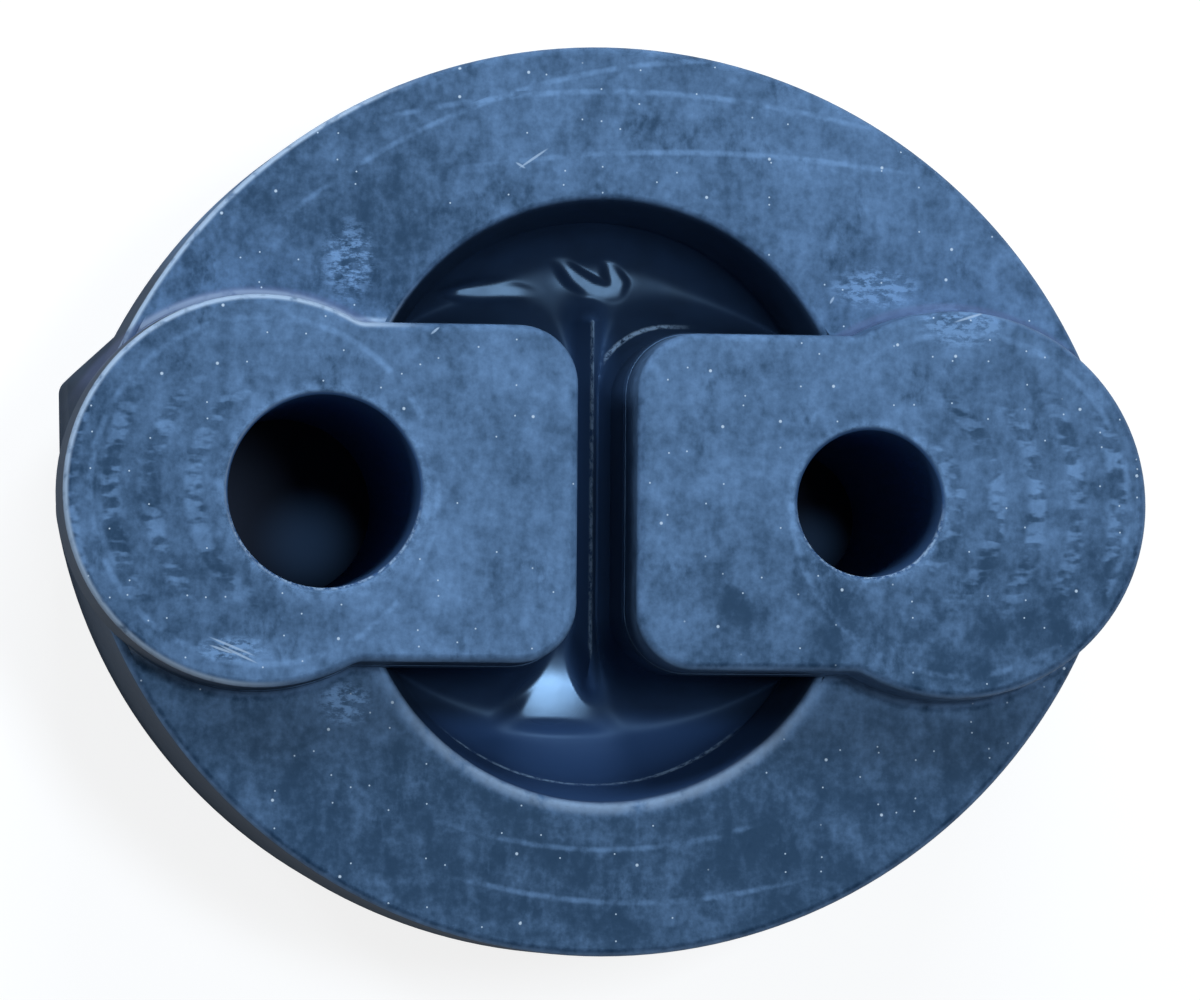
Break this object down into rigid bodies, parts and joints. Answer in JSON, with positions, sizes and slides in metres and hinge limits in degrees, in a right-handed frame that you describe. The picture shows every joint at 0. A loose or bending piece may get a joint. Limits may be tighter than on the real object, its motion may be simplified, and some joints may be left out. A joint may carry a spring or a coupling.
{
  "type": "exhaust_mount",
  "caption": "Moulded black rubber exhaust mount: a ring with a bored lug at each side, held across its opening by a thin recessed web with a centre strap",
  "frame": {"origin": "Under the middle of the bounding box, on the plane of the rear lug faces on which the mount lies.", "axes": "+X from the big bore to the small bore, +Y up in the picture along the slot between the lugs, +Z out of the front lug faces, parallel to both bores."},
  "size_m": [0.0746, 0.063, 0.035],
  "materials": {
    "rubber": "moulded, matt outside with a faint bloom, smoother and glossier in the recesses and bores"
  },
  "bodies": {
    "root": {"mount_body": "rubber"}
  },
  "joints": []
}
